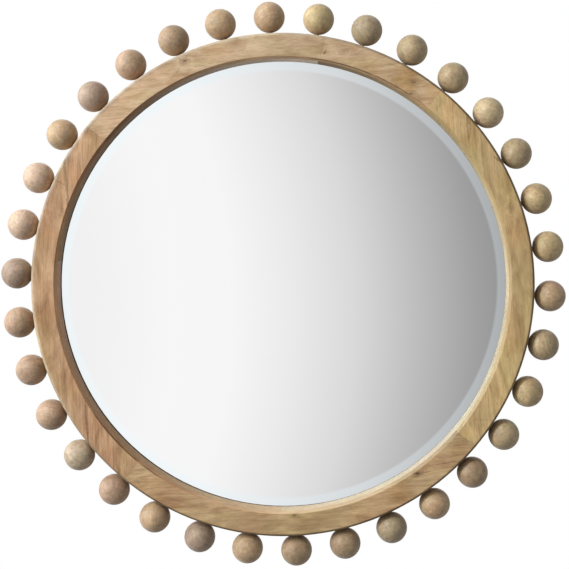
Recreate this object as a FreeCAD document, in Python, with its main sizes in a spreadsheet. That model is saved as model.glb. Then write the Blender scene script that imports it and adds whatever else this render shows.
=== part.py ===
import FreeCAD, Part
import math
import os
import Sketcher
from FreeCAD import Vector

# A round wall mirror: a bevelled glass in a thick wooden ring, with turned wooden balls on
# dowels all round the ring. The ring's axis is Y, the glass faces -Y and +Z is up. The origin
# is on the axis, halfway between the front of the ring and the wall. Angles run from +X
# towards +Z, which is counter-clockwise for someone who stands in front of the mirror.

# Driving dimensions: millimetres, degrees and counts
SIZES = (
    ("overall_diameter", 914, "across the balls"),
    ("overall_depth", 54, "front of the ring to the wall"),
    ("ball_count", 34, "balls round the ring"),
    ("ball_diameter", 50, "turned ball"),
    ("ball_neck", 3, "bare dowel between ring and ball"),
    ("ball_forward", 2, "balls' centres in front of the middle of the depth"),
    ("first_ball_angle", 92.9, "place of the first ball"),
    ("dowel_diameter", 8, "ball dowel"),
    ("dowel_in_ball", 20, "dowel depth in the ball"),
    ("dowel_in_ring", 26, "dowel depth in the ring"),
    ("dowel_chamfer", 0.8, "chamfer on the dowel's ends"),
    ("glue_gap", 0.05, "glue round a dowel or a screw in its hole"),
    ("glue_end_gap", 1, "free length past the end of a dowel or screw"),
    ("face_width", 37.5, "flat front of the ring"),
    ("face_layer", 10, "thickness of the front layer of wood"),
    ("outer_round", 5, "radius on the ring's outer front edge"),
    ("inner_round", 1.5, "radius on the ring's inner front edge"),
    ("rear_round", 2, "radius on the ring's outer rear edge"),
    ("wall_splay", 6.3, "how far the inner wall leans in"),
    ("lip_depth", 23, "front of the ring to the back of the glass lip"),
    ("lip_cover", 7.8, "glass hidden behind the lip"),
    ("rebate_gap", 1, "room round the glass in its rebate"),
    ("front_joint_angle_1", 50.8, "butt joint in the front layer"),
    ("front_joint_angle_2", 140.8, "butt joint in the front layer"),
    ("front_joint_angle_3", 230.8, "butt joint in the front layer"),
    ("front_joint_angle_4", 320.2, "butt joint in the front layer"),
    ("rear_joint_angle_1", -4.5, "butt joint in the rear layer"),
    ("rear_joint_angle_2", 81, "butt joint in the rear layer"),
    ("rear_joint_angle_3", 174, "butt joint in the rear layer"),
    ("rear_joint_angle_4", 269.5, "butt joint in the rear layer"),
    ("glass_thickness", 5, "mirror glass"),
    ("glass_edge", 2.5, "glass left at the rim of the bevel"),
    ("bevel_width", 25.4, "bevel across the face of the glass"),
    ("felt_thickness", 1.5, "felt tape at its inner edge"),
    ("felt_setback", 0.3, "felt tape behind the edge of the lip, on average"),
    ("felt_shift", 1.4, "how far the felt tape's opening sits to one side"),
    ("felt_shift_angle", 25, "the side to which the felt tape's opening sits"),
    ("board_thickness", 9, "backing board"),
    ("packing_gap", 3, "room round the packing sheet"),
    ("button_count", 6, "turn buttons that hold the board"),
    ("button_first_angle", 0, "place of the first turn button"),
    ("button_inset", 11, "turn button's pivot outside the rebate"),
    ("button_width", 14, "turn button"),
    ("button_reach", 16.5, "pivot to the centre of the button's tip"),
    ("button_thickness", 2.5, "turn button"),
    ("button_round", 0.8, "radius on the button's rear edge"),
    ("button_screw_diameter", 3.5, "shank of the turn button's screw"),
    ("button_screw_length", 16, "shank of the turn button's screw"),
    ("button_head_diameter", 7, "head of the turn button's screw"),
    ("button_head_height", 2.3, "head of the turn button's screw"),
    ("button_play", 0.08, "room between a screw and its turn button"),
    ("hanger_angle", 40, "height of the hangers round the ring"),
    ("strap_width", 16, "hanger strap"),
    ("strap_length", 40, "hinge to the strap's tail"),
    ("strap_thickness", 1, "hanger strap, one leaf"),
    ("strap_fold", 7, "hinge to where the strap's leaves meet"),
    ("strap_corner", 5, "radius on the strap's tail"),
    ("wire_diameter", 3, "wire of the D-ring"),
    ("wire_play", 0.06, "room between the wire and the strap's curl"),
    ("ring_width", 29, "D-ring across its arms"),
    ("ring_reach", 20, "hinge to the far end of the D-ring"),
    ("ring_corner", 4, "bend of the D-ring's corners, on the wire's centre line"),
    ("strap_screw_diameter", 3.5, "shank of a hanger's screw"),
    ("strap_screw_length", 18, "shank of a hanger's screw"),
    ("strap_head_diameter", 7, "head of a hanger's screw"),
    ("strap_head_height", 2, "head of a hanger's screw"),
    ("strap_hole_first", 15, "hinge to the strap's first hole"),
    ("strap_hole_pitch", 16, "first hole to second hole"),
    ("screw_point", 4, "length of a screw's point"),
    ("slot_width", 1.1, "slot in a screw's head"),
    ("slot_depth", 1, "slot in a screw's head"),
    ("bumper_angle", 68, "height of the bumpers round the ring"),
    ("bumper_diameter", 16, "rubber bumper"),
    ("bumper_height", 6, "rubber bumper, which sets the ring off the wall"),
    ("bumper_round", 1.5, "radius on the bumper's rear edge"),
)

# Sizes and places worked out from the driving dimensions
PLACES = (
    ("ball_circle", "(sizes.overall_diameter - sizes.ball_diameter) / 2", "radius to the balls' centres"),
    ("ball_radius", "sizes.ball_diameter / 2", "ball"),
    ("ball_y", "-sizes.ball_forward", "balls' centres"),
    ("dowel_radius", "sizes.dowel_diameter / 2", "dowel"),
    ("bore_radius", "dowel_radius + sizes.glue_gap", "dowel hole"),
    ("rim_radius", "ball_circle - ball_radius - sizes.ball_neck", "outside of the ring"),
    ("dowel_start", "rim_radius - sizes.dowel_in_ring", "dowel's inner end"),
    ("dowel_end", "ball_circle - ball_radius + sizes.dowel_in_ball", "dowel's outer end"),
    ("bore_start", "dowel_start - sizes.glue_end_gap", "bottom of the ring's dowel hole"),
    ("bore_end", "dowel_end + sizes.glue_end_gap", "bottom of the ball's dowel hole"),
    ("bore_mouth", "sqrt(ball_radius ^ 2 - bore_radius ^ 2)", "ball's centre to the mouth of its hole"),
    ("bore_bottom", "ball_circle - bore_end", "ball's centre back to the bottom of its hole"),
    ("face_inner", "rim_radius - sizes.face_width", "inside of the flat front"),
    ("sight_radius", "face_inner - sizes.wall_splay", "inside of the lip"),
    ("glass_radius", "sight_radius + sizes.lip_cover", "glass"),
    ("rebate_radius", "glass_radius + sizes.rebate_gap", "rebate for the glass and the board"),
    ("bevel_inner", "glass_radius - sizes.bevel_width", "inside of the bevel"),
    ("front_y", "-sizes.overall_depth / 2", "front of the ring"),
    ("layer_y", "front_y + sizes.face_layer", "between the two layers of wood"),
    ("lip_y", "front_y + sizes.lip_depth", "back of the lip"),
    ("wall_y", "sizes.overall_depth / 2", "wall"),
    ("rear_y", "wall_y - sizes.bumper_height", "back of the ring"),
    ("layer_inner", "face_inner - sizes.wall_splay * sizes.face_layer / sizes.lip_depth",
     "inner wall where the layers meet"),
    ("bevel_slope", "(sizes.glass_thickness - sizes.glass_edge) / sizes.bevel_width", "bevel"),
    ("felt_inner", "sight_radius + sizes.felt_setback", "inside of the felt tape"),
    ("glass_y", "lip_y + sizes.felt_thickness - bevel_slope * (felt_inner - bevel_inner)",
     "flat front of the glass"),
    ("felt_least", "felt_inner - sizes.felt_shift", "least inside radius of the felt tape"),
    ("felt_least_y", "glass_y + bevel_slope * (felt_least - bevel_inner)", "felt on the bevel, inside"),
    ("bevel_outer_y", "glass_y + bevel_slope * sizes.bevel_width", "rim of the bevel"),
    ("glass_back_y", "glass_y + sizes.glass_thickness", "back of the glass"),
    ("board_y", "rear_y - sizes.board_thickness", "front of the board"),
    ("packing_radius", "glass_radius - sizes.packing_gap", "packing sheet"),
    ("button_circle", "rebate_radius + sizes.button_inset", "turn buttons' pivots"),
    ("button_radius", "sizes.button_width / 2", "turn button's ends"),
    ("button_rear_y", "rear_y + sizes.button_thickness", "back of a turn button"),
    ("button_step", "360 / sizes.button_count", "angle from button to button"),
    ("ball_step", "360 / sizes.ball_count", "angle from ball to ball"),
    ("band_middle", "(rim_radius + rebate_radius) / 2", "middle of the ring's back"),
    ("wire_radius", "sizes.wire_diameter / 2", "wire of the D-ring"),
    ("curl_inner", "wire_radius + sizes.wire_play", "inside of the strap's curl"),
    ("curl_outer", "curl_inner + sizes.strap_thickness", "outside of the strap's curl"),
    ("leaves", "2 * sizes.strap_thickness", "the strap's two leaves"),
    ("inner_far", "sqrt(sizes.strap_fold ^ 2 + curl_inner ^ 2)", "hinge to the inner fold"),
    ("inner_turn", "acos(curl_inner / inner_far) - atan(curl_inner / sizes.strap_fold)",
     "where the upper leaf leaves the curl, inside"),
    ("outer_drop", "curl_outer - leaves", "outer fold below the hinge"),
    ("outer_far", "sqrt(sizes.strap_fold ^ 2 + outer_drop ^ 2)", "hinge to the outer fold"),
    ("outer_turn", "acos(curl_outer / outer_far) - atan(outer_drop / sizes.strap_fold)",
     "where the upper leaf leaves the curl, outside"),
    ("ring_half", "(sizes.ring_width - sizes.wire_diameter) / 2", "D-ring's bow, on the centre line"),
    ("ring_far", "sizes.ring_reach - wire_radius", "hinge to the bow's centre line"),
    ("ring_bow", "ring_far - ring_half", "hinge to the centre of the bow"),
    ("ring_bar", "ring_half - sizes.ring_corner", "half of the D-ring's straight bar"),
    ("bumper_radius", "sizes.bumper_diameter / 2", "bumper"),
)

BOARD_COUNT = 4
HALF_TURN = 180
QUARTER_TURN = 90
FULL_TURN = 360

doc = FreeCAD.newDocument("wall_mirror")
nodes = []


def sheet(name, rows, prefix):
    """A spreadsheet page with a note, a value and an alias for each row."""
    page = doc.addObject("Spreadsheet::Sheet", name)
    for line, (alias, content, note) in enumerate(rows, start=1):
        page.set(f"A{line}", note)
        page.set(f"B{line}", f"{prefix}{content}")
        page.setAlias(f"B{line}", alias)
    doc.recompute()
    return page


sizes = sheet("sizes", SIZES, "")
places = sheet("places", PLACES, "=")


def value(expression):
    """The present value of an expression, as a plain number."""
    result = places.evalExpression(expression)
    return float(getattr(result, "Value", result))


def keep(thing, name):
    """Give a finished piece its own name and put it on the list of nodes."""
    thing.Label = name
    nodes.append(thing)
    return thing


def new_body(name):
    body = doc.addObject("PartDesign::Body", name)
    body.AllowCompound = True
    return body


def base(body, role):
    """One of the body's own origin planes or axes."""
    return next(item for item in body.Origin.OriginFeatures if item.Role == role)


def new_sketch(body, plane, name, lift=None):
    """An empty sketch on one of the body's planes, lifted along its normal if asked."""
    sketch = body.newObject("Sketcher::SketchObject", name)
    sketch.AttachmentSupport = (base(body, plane), [""])
    sketch.MapMode = "FlatFace"
    if lift:
        sketch.setExpression(".AttachmentOffset.Base.z", lift)
    return sketch


def hold(sketch, kind, axis, geometry, point, expression, name):
    """Tie one coordinate of a sketch point to an expression."""
    if expression == "0":
        sketch.addConstraint(Sketcher.Constraint("PointOnObject", geometry, point, axis))
        return
    number = value(expression)
    index = sketch.addConstraint(Sketcher.Constraint(kind, -1, 1, geometry, point, number))
    sketch.renameConstraint(index, name)
    sketch.setExpression(f"Constraints.{name}", expression)


def outline(sketch, corners, tag="p"):
    """Draw a closed outline through corners.

    A corner is (x, y), and a straight side follows it, or (x, y, centre x, centre y, way), and
    an arc round that centre follows it, where way is 1 counter-clockwise and -1 clockwise.
    Each coordinate is an expression.
    """
    spots = [Vector(value(corner[0]), value(corner[1]), 0) for corner in corners]
    first = sketch.GeometryCount
    for number, corner in enumerate(corners):
        start = spots[number]
        end = spots[(number + 1) % len(corners)]
        if len(corner) == 2:
            sketch.addGeometry(Part.LineSegment(start, end), False)
            continue
        centre = Vector(value(corner[2]), value(corner[3]), 0)
        whole = Part.Circle(centre, Vector(0, 0, 1), (start - centre).Length)
        angles = [whole.parameter(spot) for spot in (start, end)]
        if corner[4] < 0:
            angles.reverse()
        sketch.addGeometry(Part.ArcOfCircle(whole, *angles), False)
    starts = [1 if len(corner) == 2 or corner[4] > 0 else 2 for corner in corners]
    for number, corner in enumerate(corners):
        geometry = first + number
        later = (number + 1) % len(corners)
        end = 3 - starts[number]
        sketch.addConstraint(
            Sketcher.Constraint("Coincident", geometry, end, first + later, starts[later]))
        hold(sketch, "DistanceX", -2, geometry, starts[number], corner[0], f"{tag}{number}x")
        hold(sketch, "DistanceY", -1, geometry, starts[number], corner[1], f"{tag}{number}y")
        if len(corner) > 2:
            chord = spots[later] - spots[number]
            if abs(chord.y) >= abs(chord.x):
                hold(sketch, "DistanceX", -2, geometry, 3, corner[2], f"{tag}{number}c")
            else:
                hold(sketch, "DistanceY", -1, geometry, 3, corner[3], f"{tag}{number}c")
    return sketch


def circle(sketch, x, y, diameter, name):
    """Draw a circle whose centre and diameter are expressions."""
    centre = Vector(value(x), value(y), 0)
    ring = Part.Circle(centre, Vector(0, 0, 1), value(diameter) / 2)
    geometry = sketch.addGeometry(ring, False)
    hold(sketch, "DistanceX", -2, geometry, 3, x, f"{name}_x")
    hold(sketch, "DistanceY", -1, geometry, 3, y, f"{name}_y")
    index = sketch.addConstraint(Sketcher.Constraint("Diameter", geometry, value(diameter)))
    sketch.renameConstraint(index, f"{name}_size")
    sketch.setExpression(f"Constraints.{name}_size", diameter)


def spin(body, corners, axis, name, angle=None):
    """Turn an outline in the body's XY plane about its X or Y axis."""
    sketch = outline(new_sketch(body, "XY_Plane", f"{name}_section"), corners)
    turned = body.newObject("PartDesign::Revolution", name)
    turned.Profile = sketch
    turned.ReferenceAxis = (sketch, ["H_Axis" if axis == "X" else "V_Axis"])
    turned.Angle = FULL_TURN
    if angle:
        turned.setExpression("Angle", angle)
        turned.Reversed = True
    body.Tip = turned
    return turned


def ring_round(body, number, copies):
    """Repeat the body's last feature round its Y axis."""
    pattern = body.newObject("PartDesign::PolarPattern", f"round_{number}")
    pattern.Originals = [body.Tip]
    pattern.Axis = (base(body, "Y_Axis"), [""])
    pattern.Angle = FULL_TURN
    pattern.setExpression("Occurrences", copies)
    body.Tip = pattern
    return pattern


def place(thing, x, y, z, angle="0"):
    """Move a piece to x, y, z, turned by an angle from +X towards +Z."""
    move = f"placement(vector({x}; {y}; {z}); rotation(vector(0; -1; 0); {angle}))"
    thing.setExpression("Placement", move)
    return thing


def place_round(thing, radius, depth, angle, turned):
    """Move a piece to a radius and an angle round the ring."""
    return place(thing, f"{radius} * cos({angle})", depth, f"{radius} * sin({angle})", turned)


def edges(shape, wanted):
    """Names of the edges of a shape for which wanted(edge) is true."""
    return [f"Edge{number}" for number, edge in enumerate(shape.Edges, start=1) if wanted(edge)]


def near(first, second):
    return math.isclose(first, second, rel_tol=1e-6, abs_tol=1e-6)


def soften(body, name, radius, wanted):
    """Round the edges of the body's last feature for which wanted(edge) is true."""
    doc.recompute()
    last = body.Tip
    fillet = body.newObject("PartDesign::Fillet", name)
    fillet.Base = (last, edges(last.Shape, wanted))
    fillet.setExpression("Radius", radius)
    body.Tip = fillet
    return fillet


def circle_at(radius, depth):
    """A test for edges that run round the Y axis at this radius and depth."""
    def wanted(edge):
        curve = edge.Curve
        return (isinstance(curve, Part.Circle) and near(curve.Radius, value(radius))
                and near(curve.Center.y, value(depth)))
    return wanted


# Balls and their dowels

def peg_corners(start, end, radius, chamfer):
    """Half the section of a round peg that lies along X, with chamfered ends."""
    return [(start, "0"), (end, "0"), (end, f"{radius} - {chamfer}"),
            (f"{end} - {chamfer}", radius), (f"{start} + {chamfer}", radius),
            (start, f"{radius} - {chamfer}")]


def make_dowels():
    dowels = new_body("ball_dowels")
    corners = peg_corners("places.dowel_start", "places.dowel_end", "places.dowel_radius",
                          "sizes.dowel_chamfer")
    spin(dowels, corners, "X", "dowel")
    ring_round(dowels, 1, "sizes.ball_count")
    place(dowels, "0", "places.ball_y", "0", "sizes.first_ball_angle")
    keep(dowels, "ball_dowels")


def make_bores():
    """The holes that the dowels go in, as solids for cutting the ring."""
    bores = new_body("bores")
    corners = [("places.bore_start", "0"), ("places.bore_end", "0"),
               ("places.bore_end", "places.bore_radius"), ("places.bore_start", "places.bore_radius")]
    spin(bores, corners, "X", "bore")
    ring_round(bores, 1, "sizes.ball_count")
    return place(bores, "0", "places.ball_y", "0", "sizes.first_ball_angle")


def make_ball(number):
    """A turned ball whose dowel hole opens towards the ring."""
    ball = new_body(f"ball_{number + 1:02d}")
    corners = [("places.ball_radius", "0", "0", "0", 1),
               ("-places.bore_mouth", "places.bore_radius"),
               ("-places.bore_bottom", "places.bore_radius"),
               ("-places.bore_bottom", "0")]
    spin(ball, corners, "X", "turned")
    angle = f"(sizes.first_ball_angle - {number} * places.ball_step)"
    place_round(ball, "places.ball_circle", "places.ball_y", angle, angle)
    keep(ball, f"ball_{number + 1:02d}")


# Wooden ring: two layers of curved boards whose joints are staggered, as bricks are

def span(layer, number):
    """Start of a board, and the angle that it covers."""
    start = f"sizes.{layer}_joint_angle_{number}"
    if number < BOARD_COUNT:
        return start, f"sizes.{layer}_joint_angle_{number + 1} - {start}"
    return start, f"sizes.{layer}_joint_angle_1 + {FULL_TURN} - {start}"


def make_front_board(number):
    board = new_body(f"front_felloe_{number}")
    start, angle = span("front", number)
    corners = [("places.rim_radius", "places.front_y"), ("places.rim_radius", "places.layer_y"),
               ("places.layer_inner", "places.layer_y"), ("places.face_inner", "places.front_y")]
    spin(board, corners, "Y", "board", angle)
    soften(board, "outer_edge", "sizes.outer_round",
           circle_at("places.rim_radius", "places.front_y"))
    soften(board, "inner_edge", "sizes.inner_round",
           circle_at("places.face_inner", "places.front_y"))
    place(board, "0", "0", "0", start)
    keep(board, f"front_felloe_{number}")


def make_rear_board(number, holes):
    """A board of the rear layer, with the rebate for the glass and the holes cut in it."""
    board = new_body(f"rear_board_{number}")
    start, angle = span("rear", number)
    corners = [("places.rim_radius", "places.layer_y"), ("places.rim_radius", "places.rear_y"),
               ("places.rebate_radius", "places.rear_y"), ("places.rebate_radius", "places.lip_y"),
               ("places.sight_radius", "places.lip_y"), ("places.layer_inner", "places.layer_y")]
    spin(board, corners, "Y", "board", angle)
    soften(board, "rear_edge", "sizes.rear_round",
           circle_at("places.rim_radius", "places.rear_y"))
    place(board, "0", "0", "0", start)
    drilled = doc.addObject("Part::Cut", f"rear_felloe_{number}")
    drilled.Base = board
    drilled.Tool = holes
    keep(drilled, f"rear_felloe_{number}")


# Glass and what holds it

def make_glass():
    glass = new_body("mirror_glass")
    corners = [("0", "places.glass_y"), ("places.bevel_inner", "places.glass_y"),
               ("places.glass_radius", "places.bevel_outer_y"),
               ("places.glass_radius", "places.glass_back_y"), ("0", "places.glass_back_y")]
    spin(glass, corners, "Y", "glass")
    keep(glass, "mirror_glass")


def make_cushion():
    """Felt tape between the lip and the slope of the bevel, its opening a little to one side."""
    cushion = new_body("glass_cushion")
    corners = [("places.felt_least", "places.lip_y"), ("places.glass_radius", "places.lip_y"),
               ("places.glass_radius", "places.bevel_outer_y"),
               ("places.felt_least", "places.felt_least_y")]
    spin(cushion, corners, "Y", "felt")
    opening = new_sketch(cushion, "XZ_Plane", "opening")
    circle(opening, "sizes.felt_shift * cos(sizes.felt_shift_angle)",
           "sizes.felt_shift * sin(sizes.felt_shift_angle)", "2 * places.felt_inner", "opening")
    cut = cushion.newObject("PartDesign::Pocket", "opening_cut")
    cut.Profile = opening
    cut.Type = "ThroughAll"
    cut.Midplane = True
    cushion.Tip = cut
    keep(cushion, "glass_cushion")


def make_disc(name, radius, front, rear):
    disc = new_body(name)
    spin(disc, [("0", front), (radius, front), (radius, rear), ("0", rear)], "Y", "disc")
    keep(disc, name)


# Screws, each with its head's underside at its own origin and its head towards +Y

def make_screw(name, kind):
    screw = new_body(name)
    shank = f"sizes.{kind}_screw_diameter / 2"
    head = f"sizes.{kind}_head_diameter / 2"
    height = f"sizes.{kind}_head_height"
    length = f"sizes.{kind}_screw_length"
    dome = f"({height} - (({head}) ^ 2 + {height} ^ 2) / (2 * {height}))"
    corners = [(head, "0", "0", dome, 1), ("0", height), ("0", f"-{length}"),
               (shank, f"sizes.screw_point - {length}"), (shank, "0")]
    spin(screw, corners, "Y", "turned")
    slot = new_sketch(screw, "XZ_Plane", "slot", f"-{height}")
    half = "sizes.slot_width / 2"
    outline(slot, [(f"-{head}", f"-{half}"), (head, f"-{half}"), (head, half), (f"-{head}", half)])
    cut = screw.newObject("PartDesign::Pocket", "slot_cut")
    cut.Profile = slot
    cut.setExpression("Length", "sizes.slot_depth")
    cut.Reversed = True
    screw.Tip = cut
    return screw


def make_pilot(name, kind):
    """The hole for a screw, as a solid for cutting the ring."""
    pilot = new_body(name)
    radius = f"sizes.{kind}_screw_diameter / 2 + sizes.glue_gap"
    depth = f"-sizes.{kind}_screw_length - sizes.glue_end_gap"
    spin(pilot, [("0", "0"), (radius, "0"), (radius, depth), ("0", depth)], "Y", "hole")
    return pilot


def group(name, pieces):
    bundle = doc.addObject("Part::Compound", name)
    bundle.Links = pieces
    return bundle


# Turn buttons over the edge of the board

def make_button(number):
    """A round-ended plate whose tip points to the glass's centre, pivoted at its own origin."""
    button = new_body(f"turn_button_{number + 1}")
    reach = "sizes.button_reach"
    radius = "places.button_radius"
    plan = new_sketch(button, "XZ_Plane", "plan")
    outline(plan, [("0", f"-{radius}", "0", "0", 1), ("0", radius),
                   (f"-{reach}", radius, f"-{reach}", "0", 1), (f"-{reach}", f"-{radius}")])
    circle(plan, "0", "0", "sizes.button_screw_diameter + 2 * sizes.button_play", "hole")
    plate = button.newObject("PartDesign::Pad", "plate")
    plate.Profile = plan
    plate.setExpression("Length", "sizes.button_thickness")
    plate.Reversed = True
    button.Tip = plate
    thickness = value("sizes.button_thickness")

    def outer_rear(edge):
        box = edge.BoundBox
        hole_edge = isinstance(edge.Curve, Part.Circle) and edge.Curve.Radius < value(radius) / 2
        return near(box.YMin, thickness) and near(box.YMax, thickness) and not hole_edge

    soften(button, "rear_edge", "sizes.button_round", outer_rear)
    angle = f"(sizes.button_first_angle + {number} * places.button_step)"
    place_round(button, "places.button_circle", "places.rear_y", angle, angle)
    keep(button, f"turn_button_{number + 1}")


def make_button_screws():
    """The turn buttons' screws, and the holes for them."""
    screws = []
    pilots = []
    for number in range(int(value("sizes.button_count"))):
        angle = f"(sizes.button_first_angle + {number} * places.button_step)"
        screw = make_screw(f"button_screw_{number + 1}", "button")
        screws.append(place_round(screw, "places.button_circle", "places.button_rear_y", angle, angle))
        pilot = make_pilot(f"button_pilot_{number + 1}", "button")
        pilots.append(place_round(pilot, "places.button_circle", "places.button_rear_y", angle, angle))
    keep(group("turn_button_screws", screws), "turn_button_screws")
    return pilots


# D-ring hangers: a strap folded round the bar of a wire ring, tail away from the ring

def hanger_turn(side):
    """Angle round the ring, and the turn that points the strap's tail down the ring."""
    if side == "right":
        return "sizes.hanger_angle", f"(sizes.hanger_angle - {QUARTER_TURN})"
    angle = f"({HALF_TURN} - sizes.hanger_angle)"
    return angle, f"({angle} + {QUARTER_TURN})"


def along(side, distance, depth):
    """Place, at a distance from the hinge towards the strap's tail, as x, y, z and turn."""
    angle, turned = hanger_turn(side)
    x = f"places.band_middle * cos({angle}) + {distance} * cos({turned})"
    z = f"places.band_middle * sin({angle}) + {distance} * sin({turned})"
    return x, depth, z, turned


def make_strap(side):
    strap = new_body(f"hanger_strap_{side}")
    hinge = "places.curl_outer"
    fold = "sizes.strap_fold"
    tail = "sizes.strap_length"
    section = new_sketch(strap, "XY_Plane", "folded_section")
    outline(section, [("0", "0"), (tail, "0"), (tail, "places.leaves"), (fold, "places.leaves"),
                      ("places.curl_outer * cos(places.outer_turn)",
                       f"{hinge} + places.curl_outer * sin(places.outer_turn)", "0", hinge, 1)])
    outline(section, [("0", "sizes.strap_thickness"), (fold, "sizes.strap_thickness"),
                      ("places.curl_inner * cos(places.inner_turn)",
                       f"{hinge} + places.curl_inner * sin(places.inner_turn)", "0", hinge, 1)],
            tag="q")
    folded = strap.newObject("PartDesign::Pad", "folded")
    folded.Profile = section
    folded.Midplane = True
    folded.setExpression("Length", "sizes.strap_width")
    strap.Tip = folded

    def tail_corner(edge):
        box = edge.BoundBox
        return near(box.XMin, value(tail)) and near(box.XMax, value(tail)) and box.YLength > box.ZLength

    soften(strap, "tail_corners", "sizes.strap_corner", tail_corner)
    holes = new_sketch(strap, "XZ_Plane", "holes", "-places.leaves")
    for name, distance in (("first", "sizes.strap_hole_first"),
                           ("second", "sizes.strap_hole_first + sizes.strap_hole_pitch")):
        circle(holes, distance, "0", "sizes.strap_screw_diameter + 2 * sizes.glue_gap", name)
    drilled = strap.newObject("PartDesign::Pocket", "drilled")
    drilled.Profile = holes
    drilled.setExpression("Length", "places.leaves")
    drilled.Reversed = True
    strap.Tip = drilled
    place(strap, *along(side, "0", "places.rear_y"))
    keep(strap, f"hanger_strap_{side}")


def make_d_ring(side):
    """A wire ring whose straight bar is the hinge at its own origin, bow towards -X."""
    ring = new_body(f"d_ring_{side}")
    half = "places.ring_half"
    bar = "places.ring_bar"
    corner = "sizes.ring_corner"
    bow = "places.ring_bow"
    path = new_sketch(ring, "XZ_Plane", "path")
    outline(path, [("0", f"-{bar}"), ("0", bar, f"-{corner}", bar, 1),
                   (f"-{corner}", half), (f"-{bow}", half, f"-{bow}", "0", 1),
                   (f"-{bow}", f"-{half}"), (f"-{corner}", f"-{half}", f"-{corner}", f"-{bar}", 1)])
    wire = new_sketch(ring, "XY_Plane", "wire")
    circle(wire, "0", "0", "sizes.wire_diameter", "wire")
    bent = ring.newObject("PartDesign::AdditivePipe", "bent")
    bent.Profile = wire
    bent.Spine = (path, [])
    ring.Tip = bent
    place(ring, *along(side, "0", "places.rear_y + places.curl_outer"))
    keep(ring, f"d_ring_{side}")


def make_hanger_screws():
    """The hangers' screws, and the holes for them."""
    screws = []
    pilots = []
    for side in ("left", "right"):
        for number, distance in (("first", "sizes.strap_hole_first"),
                                 ("second", "(sizes.strap_hole_first + sizes.strap_hole_pitch)")):
            spot = along(side, distance, "(places.rear_y + places.leaves)")
            screws.append(place(make_screw(f"{side}_{number}_screw", "strap"), *spot))
            pilots.append(place(make_pilot(f"{side}_{number}_pilot", "strap"), *spot))
    keep(group("hanger_screws", screws), "hanger_screws")
    return pilots


# Rubber bumpers between the ring and the wall

def make_bumpers():
    bumpers = []
    for number, angle in enumerate(("sizes.bumper_angle", f"({HALF_TURN} - sizes.bumper_angle)",
                                    f"({HALF_TURN} + sizes.bumper_angle)", "(-sizes.bumper_angle)")):
        bumper = new_body(f"bumper_{number + 1}")
        radius = "places.bumper_radius"
        height = "sizes.bumper_height"
        flat = f"{radius} - sizes.bumper_round"
        side = f"{height} - sizes.bumper_round"
        corners = [("0", "0"), (radius, "0"), (radius, side, flat, side, 1), (flat, height),
                   ("0", height)]
        spin(bumper, corners, "Y", "moulded")
        bumpers.append(place_round(bumper, "places.band_middle", "places.rear_y", angle, angle))
    keep(group("wall_bumpers", bumpers), "wall_bumpers")


# The whole mirror

for ball in range(int(value("sizes.ball_count"))):
    make_ball(ball)
make_dowels()
for board_number in range(1, BOARD_COUNT + 1):
    make_front_board(board_number)
pilot_holes = make_button_screws() + make_hanger_screws()
drill = group("drill", [make_bores()] + pilot_holes)
for board_number in range(1, BOARD_COUNT + 1):
    make_rear_board(board_number, drill)
make_glass()
make_cushion()
make_disc("packing_foam", "places.packing_radius", "places.glass_back_y", "places.board_y")
make_disc("backing_board", "places.glass_radius", "places.board_y", "places.rear_y")
for button_number in range(int(value("sizes.button_count"))):
    make_button(button_number)
for hanger_side in ("left", "right"):
    make_strap(hanger_side)
    make_d_ring(hanger_side)
make_bumpers()
doc.recompute()

# Every object has to be sound before any piece is written

for item in doc.Objects:
    if "Invalid" in item.State or "Error" in item.State:
        raise RuntimeError(f"{item.Label} failed: {item.State}")
for node in nodes:
    if node.Shape.isNull() or not node.Shape.isValid():
        raise RuntimeError(f"{node.Label} has no sound shape")

os.makedirs("parts", exist_ok=True)
for node in nodes:
    node.Shape.exportStep(os.path.join("parts", f"{node.Label}.step"))
    solids = len(node.Shape.Solids)
    print(f"{node.Label}: {solids} solid{'s' if solids > 1 else ''}, {node.Shape.Volume:.0f} mm3")
print(f"{len(nodes)} nodes")
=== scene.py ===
import math
import random

import bpy
from mathutils import Matrix, Vector


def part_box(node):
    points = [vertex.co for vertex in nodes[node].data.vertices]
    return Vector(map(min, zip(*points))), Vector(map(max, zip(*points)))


# Looks of a round bevelled mirror in a ring of wood with turned balls. The ring's axis is Y, the
# glass faces -Y and +Z is up. Places round the ring are angles in degrees from +X towards +Z,
# which is counter-clockwise for someone who stands in front of the mirror. Lengths are in metres.

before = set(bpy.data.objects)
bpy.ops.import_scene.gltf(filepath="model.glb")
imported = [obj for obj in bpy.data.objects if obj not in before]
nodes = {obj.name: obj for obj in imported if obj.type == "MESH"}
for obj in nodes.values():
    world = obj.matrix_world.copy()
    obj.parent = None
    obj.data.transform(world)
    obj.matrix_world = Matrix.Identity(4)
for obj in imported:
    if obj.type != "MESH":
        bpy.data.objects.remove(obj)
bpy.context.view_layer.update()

MM = 0.001
SAME_PLANE = 0.01 * MM


def front_radii(name):
    """Least and greatest radius of the flat front of a node."""
    spots = [vertex.co for vertex in nodes[name].data.vertices]
    front = min(spot.y for spot in spots)
    radii = [math.hypot(spot.x, spot.z) for spot in spots if spot.y - front < SAME_PLANE]
    return min(radii), max(radii)


FACE_INNER, FACE_OUTER = front_radii("front_felloe_1")
RIM_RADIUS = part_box("front_felloe_1")[1].z
FRONT_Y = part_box("front_felloe_1")[0].y
LAYER_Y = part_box("front_felloe_1")[1].y
BEVEL_INNER = front_radii("mirror_glass")[1]
GLASS_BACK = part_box("mirror_glass")[1].y


# Node trees

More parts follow.
